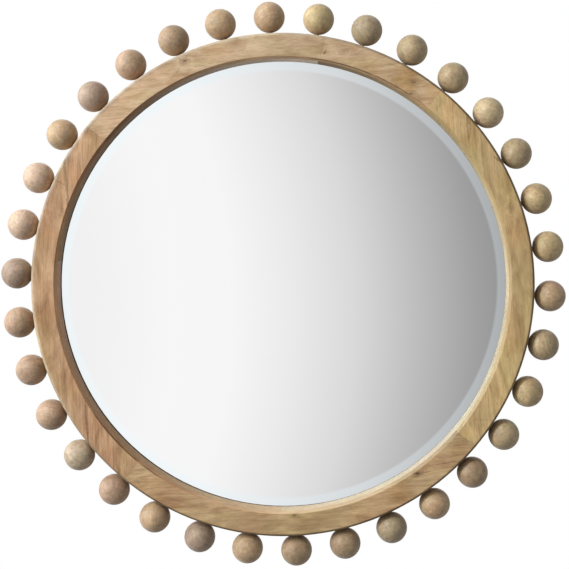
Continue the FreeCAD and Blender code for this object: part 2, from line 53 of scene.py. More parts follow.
class Tree:
    """A node tree being built. Apart from add and feed, a method gives back what its node puts out."""

    def __init__(self, tree):
        self.tree = tree

    def add(self, kind, **settings):
        node = self.tree.nodes.new(kind)
        for name, setting in settings.items():
            setattr(node, name, setting)
        return node

    def feed(self, socket, source):
        """Links a socket to a source, or sets it where the source is a plain value."""
        if isinstance(source, bpy.types.NodeSocket):
            self.tree.links.new(source, socket)
        else:
            socket.default_value = source

    def math(self, operation, *sources, clamp=False):
        node = self.add("ShaderNodeMath", operation=operation, use_clamp=clamp)
        for socket, source in zip(node.inputs, sources):
            self.feed(socket, source)
        return node.outputs[0]

    def vector(self, operation, *sources):
        node = self.add("ShaderNodeVectorMath", operation=operation)
        for socket, source in zip(node.inputs, sources):
            self.feed(socket, source)
        number = operation in ("DOT_PRODUCT", "LENGTH", "DISTANCE")
        return node.outputs["Value" if number else "Vector"]

    def scaled(self, source, factor):
        node = self.add("ShaderNodeVectorMath", operation="SCALE")
        self.feed(node.inputs[0], source)
        self.feed(node.inputs["Scale"], factor)
        return node.outputs["Vector"]

    def apart(self, first, second):
        """How far apart two numbers are."""
        return self.math("ABSOLUTE", self.math("SUBTRACT", first, second))

    def noise(self, where, detail=2.0, roughness=0.5, distortion=0.0, dimensions="3D"):
        node = self.add("ShaderNodeTexNoise", noise_dimensions=dimensions)
        self.feed(node.inputs["W" if dimensions == "1D" else "Vector"], where)
        self.feed(node.inputs["Scale"], 1.0)
        self.feed(node.inputs["Detail"], detail)
        self.feed(node.inputs["Roughness"], roughness)
        self.feed(node.inputs["Distortion"], distortion)
        return node.outputs[0]

    def span(self, source, low, high, start=0.0, end=1.0, smooth=False):
        """Maps low..high to start..end, held at the ends."""
        node = self.add("ShaderNodeMapRange", clamp=True)
        if smooth:
            node.interpolation_type = "SMOOTHSTEP"
        for socket, number in zip(node.inputs, (source, low, high, start, end)):
            self.feed(socket, number)
        return node.outputs[0]

    def between(self, source, rise, fall, smooth=False):
        """1 from the end of rise to the start of fall, and 0 outside both."""
        return self.math("MULTIPLY", self.span(source, *rise, smooth=smooth),
                         self.span(source, *fall, 1.0, 0.0, smooth=smooth))

    def mix(self, factor, first, second, blend="MIX"):
        node = self.add("ShaderNodeMix", data_type="RGBA", blend_type=blend)
        for number, source in ((0, factor), (6, first), (7, second)):
            self.feed(node.inputs[number], source)
        return node.outputs[2]

    def split(self, source):
        node = self.add("ShaderNodeSeparateXYZ")
        self.feed(node.inputs[0], source)
        return node.outputs[0], node.outputs[1], node.outputs[2]

    def join(self, x, y, z):
        node = self.add("ShaderNodeCombineXYZ")
        for socket, source in zip(node.inputs, (x, y, z)):
            self.feed(socket, source)
        return node.outputs[0]

    def even(self, level):
        """A grey of a level that a node gives."""
        return self.join(level, level, level)

    def ramp(self, source, stops):
        """A colour ramp whose stops are (place, colour), in order of place."""
        node = self.add("ShaderNodeValToRGB")
        elements = node.color_ramp.elements
        for element, (place, shade) in zip(elements, (stops[0], stops[-1])):
            element.position = place
            element.color = shade
        for place, shade in stops[1:-1]:
            elements.new(place).color = shade
        self.feed(node.inputs[0], source)
        return node.outputs[0]

    def place(self):
        return self.add("ShaderNodeTexCoord").outputs["Object"]

    def use(self, group, **sources):
        """Adds a node group, and gives back its outputs by name."""
        node = self.add("ShaderNodeGroup", node_tree=group)
        for name, source in sources.items():
            self.feed(node.inputs[name.capitalize()], source)
        return node.outputs


KINDS = {"number": "NodeSocketFloat", "vector": "NodeSocketVector", "colour": "NodeSocketColor"}


def new_group(name, inputs, outputs):
    """A node group with named inputs and outputs, its tree, what it is given and where it ends."""
    group = bpy.data.node_groups.new(name, "ShaderNodeTree")
    for side, sockets in (("INPUT", inputs), ("OUTPUT", outputs)):
        for label, kind in sockets.items():
            group.interface.new_socket(label, in_out=side, socket_type=KINDS[kind])
    tree = Tree(group)
    given = tree.add("NodeGroupInput").outputs
    end = tree.add("NodeGroupOutput").inputs
    return group, tree, given, end


def colour(red, green, blue):
    """A colour as it shows on a screen, from 0 to 255, as the linear colour that a shader takes."""
    def linear(level):
        share = level / 255
        return share / 12.92 if share <= 0.04045 else ((share + 0.055) / 1.055) ** 2.4
    return (linear(red), linear(green), linear(blue), 1.0)


def grey(level):
    return (level, level, level, 1.0)


def new_material(name):
    """A material with one principled shader, its tree and that shader's inputs."""
    material = bpy.data.materials.new(name)
    material.use_nodes = True
    tree = Tree(material.node_tree)
    shader = next(node for node in material.node_tree.nodes if node.type == "BSDF_PRINCIPLED")
    return material, tree, shader.inputs


def bump(tree, shader, height, relief):
    """Raises the surface by height, in shares of relief."""
    node = tree.add("ShaderNodeBump")
    tree.feed(node.inputs["Strength"], 1.0)
    tree.feed(node.inputs["Distance"], relief)
    tree.feed(node.inputs["Height"], height)
    tree.feed(shader["Normal"], node.outputs[0])


def wear(name, material):
    """Gives a CAD node its material."""
    slots = nodes[name].material_slots
    if not slots:
        nodes[name].data.materials.append(material)
    for slot in slots:
        slot.link = "DATA"
        slot.material = material


# Wood. A scale is so many repeats a metre, along the grain and then across it

WANDER_SCALE = (2.2, 9.0, 9.0)
FIBRE_SCALE = (22.0, 520.0, 520.0)
PORE_SCALE = (85.0, 1900.0, 1900.0)
CLOUD_SCALE = (17.0, 52.0, 52.0)
HUE_SCALE = (9.0, 26.0, 26.0)
HUE_SHIFT = (7.3, 1.9, 4.1)

# The tree's heart lies before the board and inside the rim, and its rings wander by so much
PITH = (0.0, -75.0 * MM, -20.0 * MM)
WANDER = 40.0 * MM
FINE_LINES = 1.7

FIBRE_WEIGHT = 0.8
FINE_LINE_WEIGHT = 0.1
PORE_WEIGHT = 0.35
FIBRE_RELIEF = 0.7
PORE_RELIEF = 0.6
MARK_RELIEF = 0.5
PINK_TINT = (1.02, 0.965, 0.945, 1.0)
OLIVE_TINT = (0.965, 1.0, 0.92, 1.0)
PORE_TINT = grey(0.45)
MARK_TINT = (0.16, 0.115, 0.08, 1.0)
WOOD_ROUGHNESS = (0.48, 0.68)


def make_wood_group():
    """Sawn wood with its grain along X, from Pale to Dark.

    Place is in metres, in a board with Y in its depth and Z out from the rim. Rings is so many a
    metre, and Lift bends them. Figure, Mottle and Marks are strengths, and Patch makes the drifts
    of hue smaller.
    """
    group, tree, given, end = new_group(
        "wood",
        {"Place": "vector", "Pale": "colour", "Dark": "colour", "Rings": "number", "Figure": "number",
         "Mottle": "number", "Patch": "number", "Lift": "number", "Marks": "number"},
        {"Colour": "colour", "Roughness": "number", "Height": "number"})

    def pattern(scale, **settings):
        return tree.noise(tree.vector("MULTIPLY", given["Place"], scale), **settings)

    _, y, z = tree.split(given["Place"])
    drift = tree.math("MULTIPLY_ADD", pattern(WANDER_SCALE, detail=3.0), WANDER, -WANDER / 2)
    from_pith = tree.vector("DISTANCE", tree.join(0.0, y, z), PITH)
    turns = tree.math("MULTIPLY", tree.math("ADD", from_pith, drift), given["Rings"])
    lifted = tree.math("ADD", turns, given["Lift"])
    band = tree.noise(lifted, detail=3.0, roughness=0.62, dimensions="1D")
    fine = tree.noise(tree.math("MULTIPLY", lifted, FINE_LINES), detail=1.0, dimensions="1D")
    line = tree.span(fine, 0.56, 0.66)
    fibre = pattern(FIBRE_SCALE, detail=3.0, roughness=0.7)
    pore = tree.span(pattern(PORE_SCALE, detail=1.0), 0.60, 0.70)
    cloud = pattern(CLOUD_SCALE, detail=4.0, roughness=0.62, distortion=0.6)

    shade = 0.5
    for source, weight in ((band, given["Figure"]), (fibre, FIBRE_WEIGHT), (cloud, given["Mottle"])):
        shade = tree.math("MULTIPLY_ADD", tree.math("SUBTRACT", source, 0.5), weight, shade)
    line_weight = tree.math("MULTIPLY", given["Figure"], FINE_LINE_WEIGHT)
    shade = tree.math("MULTIPLY_ADD", line, line_weight, shade, clamp=True)

    spread = tree.scaled(tree.vector("MULTIPLY", given["Place"], HUE_SCALE), given["Patch"])
    hue = tree.noise(tree.vector("ADD", spread, HUE_SHIFT))
    body = tree.mix(shade, given["Pale"], given["Dark"])
    for factor, tint in ((tree.span(hue, 0.50, 0.66, smooth=True), PINK_TINT),
                         (tree.span(hue, 0.50, 0.34, smooth=True), OLIVE_TINT),
                         (tree.math("MULTIPLY", pore, PORE_WEIGHT), PORE_TINT),
                         (given["Marks"], MARK_TINT)):
        body = tree.mix(factor, body, tint, "MULTIPLY")

    raised = tree.math("MULTIPLY", fibre, FIBRE_RELIEF)
    raised = tree.math("SUBTRACT", raised, tree.math("MULTIPLY", pore, PORE_RELIEF))
    raised = tree.math("SUBTRACT", raised, tree.math("MULTIPLY", given["Marks"], MARK_RELIEF))
    tree.feed(end["Colour"], body)
    tree.feed(end["Roughness"], tree.span(fibre, 0.2, 0.8, *WOOD_ROUGHNESS))
    tree.feed(end["Height"], raised)
    return group


# The ring's plane, and how unevenly its marks run: waves a metre, and how far they stray
FLAT = (1.0, 0.0, 1.0)
STREAK_WAVES = 160.0
STREAK_STRAY = 3.0 * MM
STREAK_FADES = 240.0
STREAK_TAPER = 1.2
KNOT_WAVES = 330.0
KNOT_STRAY = 1.3
KNOT_STRETCH = 0.4
KNOT_RIM = 0.8
KNOT_LIFT = 5.0


def make_streak_group():
    """A thin uneven mark from Start to End, 1 on it and 0 beside it."""
    group, tree, given, end = new_group(
        "streak", {"Place": "vector", "Start": "vector", "End": "vector", "Width": "number"},
        {"Mark": "number"})
    shake = tree.noise(tree.scaled(given["Place"], STREAK_WAVES))
    right = tree.math("MULTIPLY_ADD", shake, STREAK_STRAY, -STREAK_STRAY / 2)
    up = tree.math("MULTIPLY_ADD", shake, -STREAK_STRAY, STREAK_STRAY / 2)
    moved = tree.vector("ADD", given["Place"], tree.join(right, 0.0, up))
    away = tree.vector("SUBTRACT", tree.vector("MULTIPLY", moved, FLAT), given["Start"])
    run = tree.vector("SUBTRACT", given["End"], given["Start"])
    share = tree.math("DIVIDE", tree.vector("DOT_PRODUCT", away, run),
                      tree.vector("DOT_PRODUCT", run, run), clamp=True)
    off = tree.vector("DISTANCE", away, tree.scaled(run, share))
    taper = tree.math("MULTIPLY_ADD", tree.apart(share, 0.5), -STREAK_TAPER, 1.0)
    width = tree.math("MULTIPLY", given["Width"], taper)
    edge = tree.span(tree.math("DIVIDE", off, width), 0.2, 1.0, 1.0, 0.0, smooth=True)
    patchy = tree.noise(tree.scaled(given["Place"], STREAK_FADES), detail=1.0)
    tree.feed(end["Mark"], tree.math("MULTIPLY", edge, tree.span(patchy, 0.25, 0.6, 0.45, 1.0)))
    return group


def make_knot_group():
    """A knot, longer along Grain. Mark darkens it, and Lift bends the rings round it."""
    group, tree, given, end = new_group(
        "knot", {"Place": "vector", "Centre": "vector", "Grain": "vector", "Size": "number",
                 "Heart": "number"},
        {"Mark": "number", "Lift": "number"})
    shake = tree.noise(tree.scaled(given["Place"], KNOT_WAVES))
    away = tree.vector("SUBTRACT", tree.vector("MULTIPLY", given["Place"], FLAT), given["Centre"])
    along = tree.math("MULTIPLY", tree.vector("DOT_PRODUCT", away, given["Grain"]), KNOT_STRETCH)
    drawn = tree.vector("SUBTRACT", away, tree.scaled(given["Grain"], along))
    share = tree.math("DIVIDE", tree.vector("LENGTH", drawn), given["Size"])
    uneven = tree.math("ADD", share, tree.math("MULTIPLY_ADD", shake, KNOT_STRAY, -KNOT_STRAY / 2))
    heart = tree.span(uneven, 0.0, 1.1, 1.0, 0.0, smooth=True)
    heart = tree.math("MULTIPLY", heart, given["Heart"])
    rim = tree.span(tree.apart(uneven, KNOT_RIM), 0.0, 0.7, 0.3, 0.0, smooth=True)
    reach = tree.math("ADD", tree.math("MULTIPLY", share, share), 1.0)
    tree.feed(end["Mark"], tree.math("MAXIMUM", heart, rim))
    tree.feed(end["Lift"], tree.math("DIVIDE", KNOT_LIFT, reach))
    return group


WOOD = make_wood_group()
STREAK = make_streak_group()
KNOT = make_knot_group()


def finish_wood(tree, shader, wood, body, relief):
    """Gives a shader its colour, and the roughness and the relief of the wood."""
    tree.feed(shader["Base Color"], body)
    tree.feed(shader["Roughness"], wood["Roughness"])
    bump(tree, shader, wood["Height"], relief)


# The ring's boards. The step from one seed to the next gives each its own piece of the pattern

BOARD_STEP = 1.37
BOARD_RINGS = 210.0
BOARD_MOTTLE = 1.9
BOARD_SHINE = 0.3
BOARD_RELIEF = 0.25 * MM

# Glue lines: where they start to fade and are gone, and how dark they are
GLUE_LINE = (0.15 * MM, 0.5 * MM, 0.2)
LAYER_LINE = (0.05 * MM, 0.3 * MM, 0.15)

# Share of a patch's or a painted shade line's reach that has its full strength
FULL_SHARE = 0.2
PATCH_SCALE = (40.0, 110.0, 110.0)

# The inner wall: how far inside the front's edge its colour begins, how far along a board its
# painted light and shade reach as a share of the radius, how much it pales, and how its lines of
# painted shade stray and how they fade at their ends, in radians
WALL_START = (-1.2 * MM, -0.2 * MM)
WALL_REACH = 0.65
WALL_PALING = 0.4
# Lines of painted shade along the inner wall, on the side away from the lamp
WALL_SHADE_TINT = (0.22, 0.17, 0.13, 1.0)
WALL_SHADE_WAVES = 150.0
WALL_SHADE_STRAY = 1.6 * MM
WALL_SHADE_FADE = 0.03

# The outer arris, with painted shade away from the lamp and a painted highlight towards it, where it also
# shows wider
LIT_ANGLE = 145.0
RIM_PAINTED_SHADE = (0.38, 0.38, 0.38, 1.0)
RIM_PAINTED_HIGHLIGHT = (1.07, 1.2, 1.34, 1.0)
RIM_PAINTED_LIGHT = (0.74, 0.84, 0.98, 1.0)
RIM_SHIFT = (-0.9 * MM, 1.2 * MM)
RIM_START = (FACE_OUTER - 0.2 * MM, FACE_OUTER + 0.8 * MM)
RIM_DEPTH = (FRONT_Y + 2.0 * MM, FRONT_Y + 5.0 * MM)


def radial(angle):
    """The direction outwards at an angle."""
    turn = math.radians(angle)
    return Vector((math.cos(turn), 0.0, math.sin(turn)))


def tangent(angle):
    """The direction along the ring at an angle."""
    turn = math.radians(angle)
    return Vector((-math.sin(turn), 0.0, math.cos(turn)))


def face_spot(angle, share):
    """A spot on the ring's front, at a share of its width from the inside."""
    return radial(angle) * (FACE_INNER + share * (RIM_RADIUS - FACE_INNER))


class Board:
    """The material of a curved board, which runs from one angle to another."""

    def __init__(self, name, start, end, seed, skew):
        """The grain runs straight, turned by skew, and each seed has its own piece of the pattern."""
        self.material, self.tree, self.shader = new_material(name)
        self.ends = (start, end)
        self.middle = (start + end) / 2
        self.grain = self.middle + skew
        tree = self.tree
        self.place = tree.place()
        self.depth = tree.split(self.place)[1]
        self.flat = tree.vector("MULTIPLY", self.place, FLAT)
        self.radius = tree.vector("LENGTH", self.flat)
        self.along = tree.vector("DOT_PRODUCT", self.flat, tangent(self.middle))
        along_grain = tree.vector("DOT_PRODUCT", self.place, tangent(self.grain))
        out = tree.vector("DOT_PRODUCT", self.place, radial(self.grain))
        self.local = tree.join(tree.math("ADD", along_grain, seed * BOARD_STEP), self.depth,
                               tree.math("SUBTRACT", out, RIM_RADIUS))

    def glue(self):
        """Marks where the board meets the next ones and the other layer."""
        tree = self.tree
        fades, gone, strength = LAYER_LINE
        marks = tree.span(tree.apart(self.depth, LAYER_Y), fades, gone, strength, 0.0)
        fades, gone, strength = GLUE_LINE
        for angle in self.ends:
            off = tree.math("ABSOLUTE", tree.vector("DOT_PRODUCT", self.flat, tangent(angle)))
            out = tree.vector("DOT_PRODUCT", self.flat, radial(angle))
            line = tree.math("MULTIPLY", tree.span(off, fades, gone, strength, 0.0),
                             tree.math("GREATER_THAN", out, 0.0))
            marks = tree.math("MAXIMUM", marks, line)
        return marks

    def marks(self, knots, streaks):
        """How strongly the board is marked, and how far its knots bend the rings."""
        tree = self.tree
        marks = self.glue()
        lift = 0.0
        for first, last, width, strength in streaks:
            streak = tree.use(STREAK, place=self.place, start=face_spot(*first), end=face_spot(*last),
                              width=width * MM)
            marks = tree.math("MAXIMUM", marks, tree.math("MULTIPLY", streak["Mark"], strength))
        for angle, share, size, heart, strength in knots:
            knot = tree.use(KNOT, place=self.place, centre=face_spot(angle, share),
                            grain=tangent(self.grain), size=size * MM, heart=heart)
            marks = tree.math("MAXIMUM", marks, tree.math("MULTIPLY", knot["Mark"], strength))
            lift = tree.math("ADD", knot["Lift"], lift)
        return marks, lift

    def patched(self, body, patches):
        """The wood with its lighter and darker places."""
        tree = self.tree
        cloud = tree.noise(tree.vector("MULTIPLY", self.local, PATCH_SCALE))
        cloud = tree.math("SUBTRACT", cloud, 0.5)
        for angle, share, reach, tint in patches:
            reach *= MM
            off = tree.vector("DISTANCE", self.flat, face_spot(angle, share))
            off = tree.math("ADD", off, tree.math("MULTIPLY", cloud, reach))
            near = tree.span(off, FULL_SHARE * reach, reach, 1.0, 0.0, smooth=True)
            body = tree.mix(near, body, (*tint, 1.0), "MULTIPLY")
        return body

    def wall_shade_strength(self, wall_shade_lines):
        """How strongly lines of painted shade run along the inner wall."""
        tree = self.tree
        out = tree.vector("DOT_PRODUCT", self.flat, radial(self.middle))
        turned = tree.math("ARCTAN2", self.along, out)
        shake = tree.noise(tree.scaled(self.flat, WALL_SHADE_WAVES))
        stray = tree.math("MULTIPLY_ADD", shake, WALL_SHADE_STRAY, -WALL_SHADE_STRAY / 2)
        wall_shade = 0.0
        for first, last, inside, width, strength in wall_shade_lines:
            width *= MM
            off = tree.math("SUBTRACT", self.radius, FACE_INNER - inside * MM)
            off = tree.math("ABSOLUTE", tree.math("ADD", off, stray))
            line = tree.span(off, FULL_SHARE * width, width, strength, 0.0, smooth=True)
            low, high = (math.radians(angle - self.middle) for angle in (first, last))
            length = tree.between(turned, (low, low + WALL_SHADE_FADE), (high - WALL_SHADE_FADE, high))
            wall_shade = tree.math("MAXIMUM", tree.math("MULTIPLY", line, length), wall_shade)
        return wall_shade

    def wall_with_painted_light(self, body, pale, wall, wall_shade_lines):
        """The inner wall, where the saw cut across the grain, in painted light and shade."""
        tree = self.tree
        reach = WALL_REACH * FACE_INNER
        along = tree.span(self.along, -reach, reach)
        # The tints are painted light and shade along the board
        tint = tree.ramp(along, [(place, (*stop, 1.0)) for place, stop in zip((0.0, 0.5, 1.0), wall)])
        wall_with_painted_light = tree.mix(1.0, tree.mix(WALL_PALING, body, pale), tint, "MULTIPLY")
        return tree.mix(self.wall_shade_strength(wall_shade_lines), wall_with_painted_light, WALL_SHADE_TINT, "MULTIPLY")

    def arris_painted_light(self, body, rim):
        """The wood with its outer arris, in painted light and shade."""
        tree = self.tree
        side = tree.vector("DOT_PRODUCT", tree.vector("NORMALIZE", self.flat), radial(LIT_ANGLE))
        lit = tree.span(side, -0.2, 1.0, smooth=True)
        # Painted shade on the arris away from the lamp, and a painted highlight towards it
        edge = tree.ramp(lit, ((0.0, RIM_PAINTED_SHADE), (0.8, RIM_PAINTED_HIGHLIGHT), (1.0, RIM_PAINTED_LIGHT)))
        edge = tree.mix(1.0, edge, (*rim, 1.0), "MULTIPLY")
        shifted = tree.math("ADD", self.radius, tree.span(lit, 0.0, 1.0, *RIM_SHIFT))
        outside = tree.math("MULTIPLY", tree.span(shifted, *RIM_START),
                            tree.span(self.depth, *RIM_DEPTH, 1.0, 0.0))
        return tree.mix(outside, body, edge, "MULTIPLY")


def board_material(name, start, end, seed, pale, dark, figure, wall, skew=0.0, rim=(1.0, 1.0, 1.0),
                   knots=(), streaks=(), wall_shade_lines=(), patches=()):
    board = Board(name, start, end, seed, skew)
    tree = board.tree
    marks, lift = board.marks(knots, streaks)
    wood = tree.use(WOOD, place=board.local, pale=pale, dark=dark, rings=BOARD_RINGS, figure=figure,
                    mottle=BOARD_MOTTLE, patch=1.0, lift=lift, marks=marks)
    body = board.patched(wood["Colour"], patches)
    fades, begins = WALL_START
    inside = tree.span(board.radius, FACE_INNER + fades, FACE_INNER + begins, 1.0, 0.0)
    body = tree.mix(inside, board.arris_painted_light(body, rim), board.wall_with_painted_light(body, pale, wall, wall_shade_lines))
    finish_wood(tree, board.shader, wood, body, BOARD_RELIEF)
    board.shader["Specular IOR Level"].default_value = BOARD_SHINE
    return board.material


# What each board shows. A spot is an angle and a share of the front's width from the inside.
# wall: tints of the inner wall at the board's start, middle and end: painted light and shade,
# lighter where the lamp falls on the wall and darker where the wall turns from it
# rim: tint of the painted light on the outer arris
# knots: angle, share, size in mm, darkness of the heart, strength
# streaks: spot where it starts, spot where it ends, width in mm, strength
# wall_shade_lines: lines of painted shade on the inner wall: angle where it starts, angle where it ends,
# mm inside the front's edge, width in mm, strength
# patches: angle, share, reach in mm, tint

FRONT_JOINTS = (50.8, 140.8, 230.8, 320.2, 410.8)
FRONT_BOARDS = (
    {
        "name": "top_board", "pale": colour(208, 182, 150), "dark": colour(154, 123, 87), "figure": 0.75,
        "wall": ((0.72, 0.6, 0.42), (1.05, 0.93, 0.78), (0.28, 0.15, 0.04)),
        "knots": (
            (57.3, 0.5, 6.5, 0.7, 0.7), (75.2, 0.5, 4.4, 0.5, 0.6), (113.4, 0.64, 4.2, 0.9, 0.85),
            (56.2, 0.04, 4.5, 0.9, 0.8)),
        "streaks": (
            ((80.5, 0.0), (80.3, 1.0), 0.8, 0.45), ((79.8, 0.18), (79.4, 0.42), 1.6, 0.9),
            ((62.4, 0.9), (67.0, 0.3), 1.6, 0.4), ((114.5, 0.5), (119.5, 0.1), 1.4, 0.3),
            ((114.6, 0.9), (113.5, 0.6), 2.0, 0.4), ((112.4, 0.88), (113.2, 0.6), 1.8, 0.35)),
        "wall_shade_lines": (
            (66.0, 84.0, 1.6, 1.3, 0.75), (55.5, 67.0, 1.3, 1.4, 0.75), (50.8, 56.0, 0.9, 1.3, 0.6),
            (99.0, 140.8, 0.7, 1.3, 0.5)),
        "patches": (
            (59.0, 0.45, 38.0, (0.79, 0.7, 0.5)), (52.5, 0.7, 22.0, (0.98, 0.92, 0.78)),
            (68.0, 0.2, 34.0, (0.94, 0.9, 0.82)), (128.0, 0.75, 40.0, (1.06, 1.03, 1.03)),
            (106.0, 0.8, 30.0, (1.05, 1.03, 0.98)), (134.0, 0.45, 50.0, (1.0, 0.945, 0.95)),
            (140.8, 0.5, 30.0, (0.96, 0.93, 0.93)), (50.8, 0.4, 18.0, (1.0, 0.97, 0.92)),
            (88.0, 0.5, 70.0, (0.95, 0.955, 0.97))),
    },
    {
        "name": "left_board", "pale": colour(200, 164, 128), "dark": colour(136, 101, 69), "figure": 0.75,
        "skew": -6.0, "rim": (1.1, 1.17, 1.25),
        "wall": ((0.45, 0.32, 0.19), (0.93, 0.81, 0.71), (0.75, 0.64, 0.48)),
        "streaks": (
            ((149.9, 1.0), (158.6, 0.0), 5.0, 0.42), ((149.8, 0.98), (151.6, 0.8), 3.6, 0.5),
            ((157.6, 0.12), (159.4, -0.02), 3.0, 0.5), ((155.3, 0.35), (155.0, 0.95), 1.4, 0.5),
            ((219.6, 1.0), (210.4, 0.0), 3.8, 0.6), ((223.0, 0.9), (216.0, 0.3), 1.8, 0.3)),
        "wall_shade_lines": ((214.0, 231.5, 1.0, 1.7, 0.8), (140.8, 181.0, 0.7, 1.3, 0.4)),
        "patches": (
            (144.0, 0.5, 24.0, (1.04, 1.06, 1.04)), (152.5, 0.35, 22.0, (1.03, 0.98, 0.93)),
            (168.0, 0.6, 26.0, (1.05, 1.02, 0.96)), (187.0, 0.3, 30.0, (0.98, 0.94, 0.88)),
            (216.0, 0.6, 34.0, (0.92, 0.86, 0.84)), (225.0, 0.45, 26.0, (0.88, 0.83, 0.8)),
            (206.0, 0.25, 26.0, (0.98, 0.96, 0.9)), (210.0, 0.5, 60.0, (0.92, 0.95, 0.95)),
            # The patch at 148.5 degrees by the outer edge is a painted highlight
            (152.0, 0.5, 50.0, (0.94, 0.93, 0.91)), (148.5, 0.98, 13.0, (1.12, 1.24, 1.4)),
            (168.0, 0.4, 40.0, (0.98, 1.0, 1.0)), (171.0, 0.85, 18.0, (1.07, 1.06, 1.06)),
            (143.5, 0.9, 14.0, (1.08, 1.08, 1.1))),
    },
    {
        "name": "bottom_board", "pale": colour(201, 173, 132), "dark": colour(142, 112, 77), "figure": 0.8,
        "wall": ((0.82, 0.66, 0.58), (1.02, 1.06, 1.18), (0.47, 0.5, 0.49)),
        "knots": ((305.7, 0.09, 4.8, 0.9, 1.0), (273.0, 0.06, 2.6, 0.8, 0.9)),
        "streaks": (
            ((305.0, 0.12), (308.5, 0.35), 1.2, 0.5), ((309.0, 0.1), (315.5, 0.9), 1.6, 0.5),
            ((312.0, 0.1), (317.5, 0.9), 1.4, 0.45), ((316.0, 0.1), (319.5, 0.6), 1.4, 0.35)),
        "wall_shade_lines": ((230.8, 238.0, 1.0, 1.5, 0.7),),
        "patches": (
            (317.0, 0.5, 20.0, (0.92, 0.86, 0.78)), (300.0, 0.4, 32.0, (0.9, 0.86, 0.76)),
            (242.0, 0.5, 40.0, (0.92, 0.87, 0.87)), (262.0, 0.7, 26.0, (1.0, 0.98, 1.0)),
            (271.0, 0.5, 30.0, (1.05, 1.05, 1.09)), (288.0, 0.5, 26.0, (1.03, 1.02, 0.98))),
    },
    {
        "name": "right_board", "pale": colour(212, 184, 135), "dark": colour(153, 124, 82), "figure": 0.8,
        "wall": ((0.57, 0.61, 0.63), (0.53, 0.51, 0.47), (0.57, 0.57, 0.43)),
        "knots": ((18.7, 0.5, 4.4, 0.5, 0.85),),
        "streaks": (
            ((42.6, 0.95), (38.2, 0.35), 6.5, 0.42), ((41.6, 0.9), (39.4, 0.55), 2.6, 0.45),
            ((31.3, 0.78), (29.4, 0.93), 3.2, 0.6), ((327.5, 0.9), (325.0, 0.2), 1.6, 0.25)),
        "patches": (
            (321.5, 0.35, 16.0, (1.08, 1.07, 0.98)), (333.0, 0.5, 34.0, (1.09, 1.09, 1.05)),
            (345.0, 0.35, 24.0, (0.86, 0.81, 0.73)), (12.0, 0.6, 30.0, (0.97, 0.94, 0.9)),
            (38.0, 0.5, 20.0, (0.96, 0.93, 0.88)), (27.0, 0.4, 28.0, (1.03, 1.02, 1.0)),
            (46.0, 0.5, 22.0, (1.03, 1.02, 1.0)), (2.0, 0.5, 80.0, (0.87, 0.87, 0.87)),
            (30.0, 0.5, 50.0, (0.92, 0.94, 0.96))),
    },
)

REAR_JOINTS = (-4.5, 81.0, 174.0, 269.5, 355.5)
REAR_BOARDS = (
    {"name": "rear_board_1", "pale": colour(208, 182, 140), "dark": colour(160, 134, 94), "figure": 0.8,
     "wall": ((0.7, 0.78, 0.9), (0.53, 0.54, 0.48), (0.41, 0.36, 0.31))},
    {"name": "rear_board_2", "pale": colour(204, 178, 144), "dark": colour(154, 128, 94), "figure": 0.8,
     "wall": ((1.28, 1.42, 1.82), (0.42, 0.37, 0.34), (0.51, 0.45, 0.42))},
    {"name": "rear_board_3", "pale": colour(206, 180, 148), "dark": colour(156, 130, 98), "figure": 0.8,
     "wall": ((0.83, 0.72, 0.76), (0.65, 0.54, 0.48), (0.81, 0.82, 0.79))},
    {"name": "rear_board_4", "pale": colour(210, 186, 148), "dark": colour(162, 138, 102), "figure": 0.8,
     "wall": ((0.85, 0.92, 1.05), (0.66, 0.76, 0.95), (0.59, 0.66, 0.71))},
)


def dress_layer(layer, boards, joints, first_seed):
    """Gives the boards of one layer their wood. Each runs from one joint to the next."""
    for number, (board, start, end) in enumerate(zip(boards, joints, joints[1:])):
        material = board_material(start=start, end=end, seed=first_seed + number, **board)
        wear(f"{layer}_felloe_{number + 1}", material)


# Turned balls, tones chosen ball by ball

BALL_TONES = {
    "tan": (168, 142, 109), "olive": (160, 141, 107), "pale": (186, 166, 130), "gold": (174, 152, 112),
    "brown": (150, 127, 97), "grey": (147, 126, 107), "rose": (164, 136, 110), "blush": (187, 161, 138),
    "ash": (174, 157, 132), "moss": (150, 133, 104),
}
BALL_ORDER = ("tan gold moss olive olive pale olive gold gold tan olive gold olive brown tan moss brown "
              "brown tan grey tan rose ash rose rose rose grey blush blush tan grey rose brown tan").split()
BALL_LEVEL = 0.89
BALL_PALE = 1.47
BALL_DARK = (0.70, 0.66, 0.62)
BALL_STEP = 0.91
BALL_FIGURE = 0.45
BALL_MOTTLE = 1.5
BALL_PATCH = 2.2
BALL_SHINE = 0.65
BALL_SHEEN = 0.4
BALL_RELIEF = 0.2 * MM
BLOTCH_SCALE = 190.0
BLOTCH_LEVELS = (0.72, 1.28)

# Painted shade where a ball meets the ring, for the ring's shadow and the dark contact: how far
# back it lies, where it starts and is full, and the level there
CONTACT_SHADE_LEAN = 0.6
CONTACT_SHADE_EDGE = (0.45, 0.84)
CONTACT_SHADE_LEVEL = 0.3


